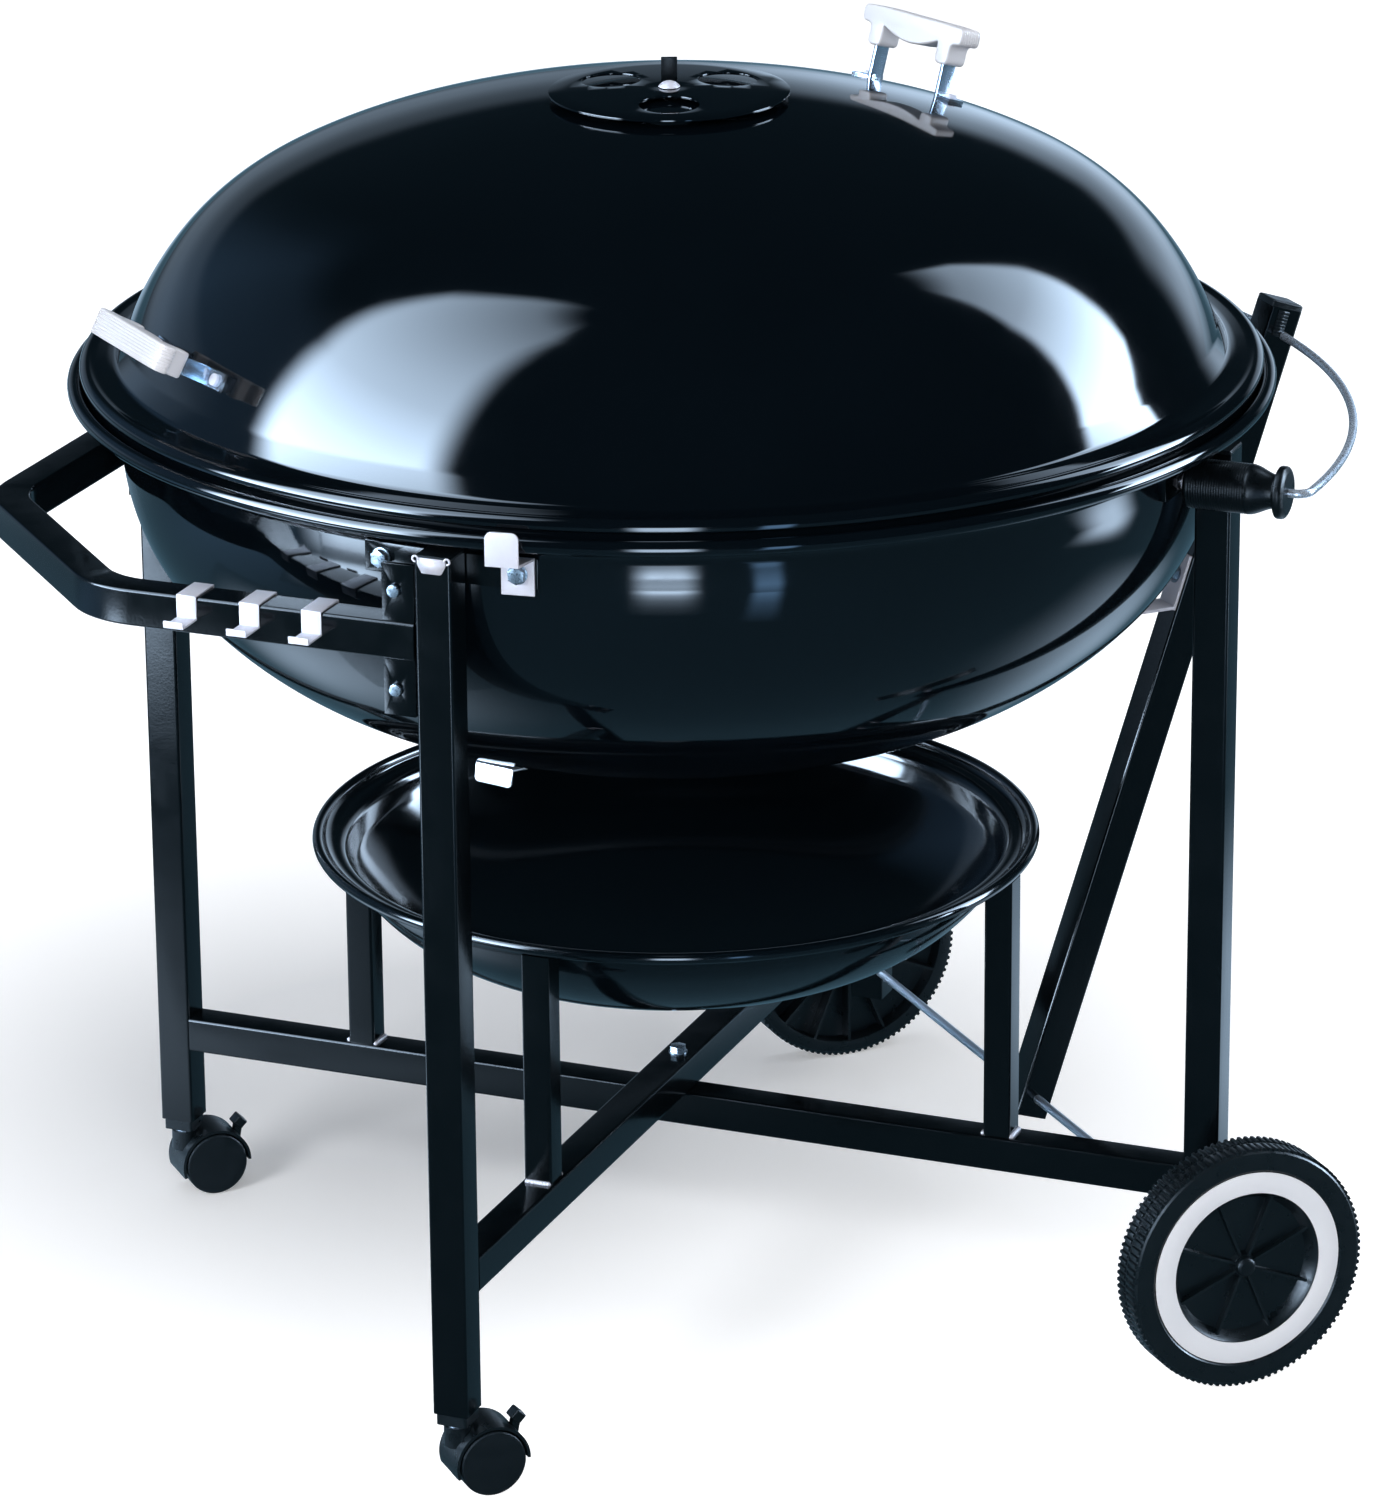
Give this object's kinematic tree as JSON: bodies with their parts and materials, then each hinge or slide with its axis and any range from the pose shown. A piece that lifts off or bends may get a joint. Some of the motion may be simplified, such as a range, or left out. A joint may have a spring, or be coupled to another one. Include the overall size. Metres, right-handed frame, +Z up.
{
  "type": "kettle charcoal grill",
  "caption": "Large round kettle grill on a square-tube cart with a domed lid, ash pan, push handle, lid holder, tread wheels and locking casters.",
  "frame": {"origin": "on the floor under the middle of the grill's overall box", "axes": "+X from the push handle towards the wheels, +Y to the far side of the wheel axle, +Z up"},
  "size_m": [1.1964, 1.0498, 1.1259],
  "materials": {
    "enamel": "high-gloss porcelain enamel, black with a blue cast",
    "frame_paint": "gloss black powder coat",
    "ash_paint": "gloss black baked paint",
    "cap_plastic": "moulded black plastic",
    "zinc": "bright zinc plate",
    "axle_steel": "drawn steel rod, dull",
    "rod_chrome": "bright plated rod",
    "damper_aluminium": "mill-finish aluminium sheet",
    "white_grip": "white moulded nylon, finely textured",
    "black_grip": "black moulded nylon, finely textured",
    "wheel_plastic": "black moulded plastic with a lugged tread",
    "wheel_ring": "white printed plastic ring, bare",
    "caster_plastic": "black moulded nylon",
    "caster_tread": "black moulded nylon wheel",
    "grate_wire": "plated steel wire"
  },
  "bodies": {
    "frame": {"bowl": "enamel", "leg_front_left": "frame_paint", "leg_back_left": "frame_paint", "leg_front_right": "frame_paint", "leg_back_right": "frame_paint", "cross_tube_lower": "frame_paint", "cross_tube_upper": "frame_paint", "ash_posts": "frame_paint", "push_handle": "frame_paint", "handle_flanges": "frame_paint", "leg_lugs": "frame_paint", "holder_post": "frame_paint", "leg_brackets": "frame_paint", "leg_caps": "cap_plastic", "holder_post_cap": "cap_plastic", "hub_caps": "cap_plastic", "hex_bolts": "zinc", "handle_screws": "zinc", "tool_hooks": "zinc", "lid_rest": "zinc", "lid_catch": "zinc", "side_grip_studs": "zinc", "axle_spacers": "zinc", "bowl_damper_rivets": "zinc", "grate_supports": "zinc", "axle": "axle_steel", "lid_hoop": "rod_chrome", "side_grip_front": "black_grip", "side_grip_back": "black_grip", "caster_front_socket": "caster_plastic", "caster_back_socket": "caster_plastic"},
    "lid": {"lid": "enamel", "lid_grip_high": "white_grip", "lid_grip_low": "white_grip", "lid_handle_straps": "zinc", "lid_handle_screws": "zinc", "lid_damper_rivet": "zinc"},
    "lid_damper": {"lid_damper": "enamel", "lid_damper_tab": "black_grip"},
    "bowl_damper_1": {"bowl_damper_1": "damper_aluminium"},
    "bowl_damper_2": {"bowl_damper_2": "damper_aluminium"},
    "bowl_damper_3": {"bowl_damper_3": "damper_aluminium"},
    "ash_pan": {"ash_pan": "ash_paint"},
    "cooking_grate": {"cooking_grate": "grate_wire"},
    "charcoal_grate": {"charcoal_grate": "grate_wire"},
    "wheel_front": {"wheel_front": "wheel_plastic", "wheel_ring_front": "wheel_ring"},
    "wheel_back": {"wheel_back": "wheel_plastic", "wheel_ring_back": "wheel_ring"},
    "caster_front": {"caster_front_stem": "axle_steel", "caster_front_hood": "caster_plastic", "caster_front_axle": "axle_steel"},
    "caster_front_wheels": {"caster_front_wheels": "caster_tread"},
    "caster_front_brake": {"caster_front_brake": "caster_plastic"},
    "caster_back": {"caster_back_stem": "axle_steel", "caster_back_hood": "caster_plastic", "caster_back_axle": "axle_steel"},
    "caster_back_wheels": {"caster_back_wheels": "caster_tread"},
    "caster_back_brake": {"caster_back_brake": "caster_plastic"}
  },
  "joints": [
    {"name": "lid_lift", "type": "slide", "parent": "frame", "child": "lid", "axis": [0, 0, 1], "range_m": [0, 0.45]},
    {"name": "lid_damper_turn", "type": "hinge", "parent": "lid", "child": "lid_damper", "pos_m": [-0.01432, 0, 1.1039], "axis": [0, 0, 1], "range_deg": [0, 60]},
    {"name": "bowl_damper_1_turn", "type": "hinge", "parent": "frame", "child": "bowl_damper_1", "pos_m": [-0.18038, -0.10784, 0.55461], "axis": [-0.1568, -0.1018, -0.9824], "range_deg": [-60, 60]},
    {"name": "bowl_damper_2_turn", "type": "hinge", "parent": "frame", "child": "bowl_damper_2", "pos_m": [0.1621, -0.08989, 0.55461], "axis": [0.1665, -0.0849, -0.9824], "range_deg": [-60, 60]},
    {"name": "bowl_damper_3_turn", "type": "hinge", "parent": "frame", "child": "bowl_damper_3", "pos_m": [-0.02468, 0.19773, 0.55461], "axis": [-0.0098, 0.1867, -0.9824], "range_deg": [-60, 60]},
    {"name": "ash_pan_lift", "type": "slide", "parent": "frame", "child": "ash_pan", "axis": [0, 0, 1], "range_m": [0, 0.06]},
    {"name": "cooking_grate_lift", "type": "slide", "parent": "frame", "child": "cooking_grate", "axis": [0, 0, 1], "range_m": [0, 0.03]},
    {"name": "charcoal_grate_lift", "type": "slide", "parent": "frame", "child": "charcoal_grate", "axis": [0, 0, 1], "range_m": [0, 0.12]},
    {"name": "wheel_front_spin", "type": "hinge", "parent": "frame", "child": "wheel_front", "pos_m": [0.33888, -0.42, 0.1115], "axis": [0, 1, 0], "continuous": true},
    {"name": "wheel_back_spin", "type": "hinge", "parent": "frame", "child": "wheel_back", "pos_m": [0.33888, 0.42, 0.1115], "axis": [0, 1, 0], "continuous": true},
    {"name": "caster_front_swivel", "type": "hinge", "parent": "frame", "child": "caster_front", "pos_m": [-0.36752, -0.3532, 0.09], "axis": [0, 0, 1], "continuous": true},
    {"name": "caster_front_spin", "type": "hinge", "parent": "caster_front", "child": "caster_front_wheels", "pos_m": [-0.34352, -0.3532, 0.0295], "axis": [0, 1, 0], "continuous": true},
    {"name": "caster_front_brake_press", "type": "hinge", "parent": "caster_front", "child": "caster_front_brake", "pos_m": [-0.31852, -0.3532, 0.0415], "axis": [0, 1, 0], "range_deg": [0, 25]},
    {"name": "caster_back_swivel", "type": "hinge", "parent": "frame", "child": "caster_back", "pos_m": [-0.36752, 0.3532, 0.09], "axis": [0, 0, 1], "continuous": true},
    {"name": "caster_back_spin", "type": "hinge", "parent": "caster_back", "child": "caster_back_wheels", "pos_m": [-0.34352, 0.3532, 0.0295], "axis": [0, 1, 0], "continuous": true},
    {"name": "caster_back_brake_press", "type": "hinge", "parent": "caster_back", "child": "caster_back_brake", "pos_m": [-0.31852, 0.3532, 0.0415], "axis": [0, 1, 0], "range_deg": [0, 25]}
  ]
}
